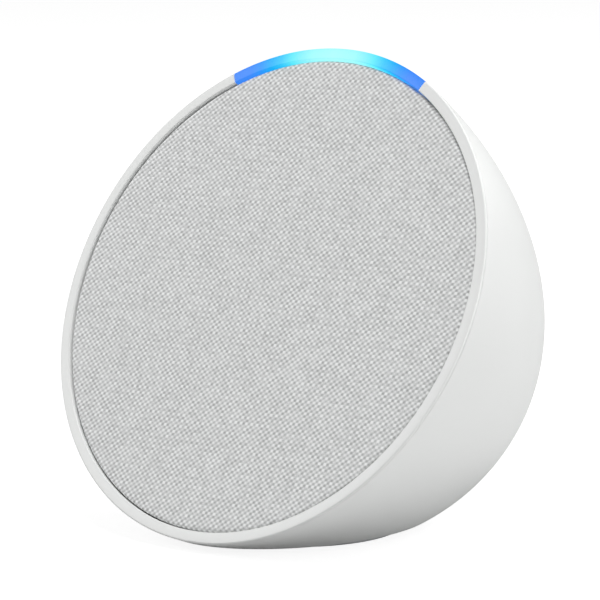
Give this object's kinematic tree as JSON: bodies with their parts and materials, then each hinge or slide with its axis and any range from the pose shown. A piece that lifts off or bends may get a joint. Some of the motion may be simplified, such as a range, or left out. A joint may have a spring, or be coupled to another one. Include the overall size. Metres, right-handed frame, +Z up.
{
  "type": "smart speaker",
  "caption": "Compact egg-shaped voice-controlled speaker with a tilted round cloth grille, a light bar in its rim, press keys on top and a power socket behind.",
  "frame": {"origin": "centre of the bounding box's bottom, on the surface the foot stands on", "axes": "+Z up, -Y towards the grille and the listener, +X to the right for someone facing the grille"},
  "size_m": [0.099, 0.083, 0.091],
  "materials": {
    "shell_white": "fine satin moulded surface",
    "bezel_white": "fine satin moulded surface",
    "light_guide": "translucent, lit from inside",
    "foot_rubber": "matt moulded rubber",
    "adhesive_film": "double-sided film",
    "grille_cloth": "plain woven polyester, light grey and white threads",
    "grille_plate": "moulded plate",
    "white_circuit": "white solder mask",
    "led_lens": "clear encapsulated LED",
    "foam_black": "closed-cell foam",
    "dark_plastic": "moulded structural plastic",
    "basket_steel": "black powder coat",
    "surround_rubber": "smooth rubber",
    "cone_paper": "coated paper",
    "former_film": "wound film tube",
    "copper_wire": "enamelled copper winding",
    "spider_cloth": "resin-dipped corrugated cloth",
    "plated_steel": "zinc plated",
    "ferrite": "sintered magnet",
    "circuit_green": "green solder mask",
    "chip_black": "moulded chip package",
    "shield_steel": "tin plated lid",
    "capacitor_can": "bare can",
    "connector_plastic": "natural nylon",
    "thermal_pad": "soft silicone",
    "aluminium_sheet": "stamped sheet",
    "contact_metal": "plated contact",
    "flex_film": "polyimide film",
    "button_white": "fine satin moulded surface",
    "switch_metal": "switch body",
    "plunger_plastic": "moulded",
    "boot_rubber": "silicone boot",
    "wire_insulation": "extruded insulation",
    "aerial_film": "printed film",
    "screw_steel": "black zinc"
  },
  "bodies": {
    "enclosure": {"housing": "shell_white", "bezel_ring": "bezel_white", "light_bar": "light_guide", "foot_pad": "foot_rubber", "foot_adhesive": "adhesive_film", "grille_fabric": "grille_cloth", "grille_frame": "grille_plate", "led_board": "white_circuit", "status_leds": "led_lens", "light_shield": "foam_black", "chassis": "dark_plastic", "chamber_tub": "dark_plastic", "chamber_gasket": "foam_black", "driver_gasket": "foam_black", "speaker_basket": "basket_steel", "speaker_surround": "surround_rubber", "spider": "spider_cloth", "top_plate": "plated_steel", "magnet": "ferrite", "pole_yoke": "plated_steel", "speaker_terminals": "contact_metal", "main_board": "circuit_green", "processor": "chip_black", "processor_shield": "shield_steel", "memory_chips": "chip_black", "radio_module": "shield_steel", "board_inductors": "chip_black", "board_capacitors": "capacitor_can", "ribbon_sockets": "connector_plastic", "speaker_socket": "connector_plastic", "thermal_pad": "thermal_pad", "heat_spreader": "aluminium_sheet", "power_socket": "plunger_plastic", "power_pin": "contact_metal", "power_contact": "contact_metal", "button_flex": "flex_film", "button_bracket": "dark_plastic", "switch_bases": "switch_metal", "microphones": "switch_metal", "mic_boots": "boot_rubber", "speaker_wires": "wire_insulation", "wire_grommet": "boot_rubber", "led_ribbon": "flex_film", "button_ribbon": "flex_film", "aerial_left": "aerial_film", "aerial_right": "aerial_film", "chassis_screws": "screw_steel", "driver_screws": "screw_steel", "board_screws": "screw_steel", "bracket_screws": "screw_steel"},
    "cone_assembly": {"speaker_cone": "cone_paper", "dust_cap": "cone_paper", "coil_former": "former_film", "voice_coil": "copper_wire"},
    "volume_up_key": {"volume_up_button": "button_white", "volume_up_plunger": "plunger_plastic"},
    "volume_down_key": {"volume_down_button": "button_white", "volume_down_plunger": "plunger_plastic"},
    "mic_off_key": {"mic_off_button": "button_white", "mic_off_plunger": "plunger_plastic"}
  },
  "joints": [
    {"name": "volume_up_press", "type": "slide", "parent": "enclosure", "child": "volume_up_key", "axis": [-0.3147, -0.6306, -0.7094], "range_m": [0, 0.0004], "stiffness_N_per_m": 2000},
    {"name": "volume_down_press", "type": "slide", "parent": "enclosure", "child": "volume_down_key", "axis": [0, -0.6537, -0.7567], "range_m": [0, 0.0004], "stiffness_N_per_m": 2000},
    {"name": "mic_off_press", "type": "slide", "parent": "enclosure", "child": "mic_off_key", "axis": [0.3147, -0.6306, -0.7094], "range_m": [0, 0.0004], "stiffness_N_per_m": 2000},
    {"name": "cone_travel", "type": "slide", "parent": "enclosure", "child": "cone_assembly", "axis": [0, -0.8988, 0.4384], "range_m": [-0.0015, 0.0015], "stiffness_N_per_m": 900, "deforming": ["speaker_surround", "spider"]}
  ]
}
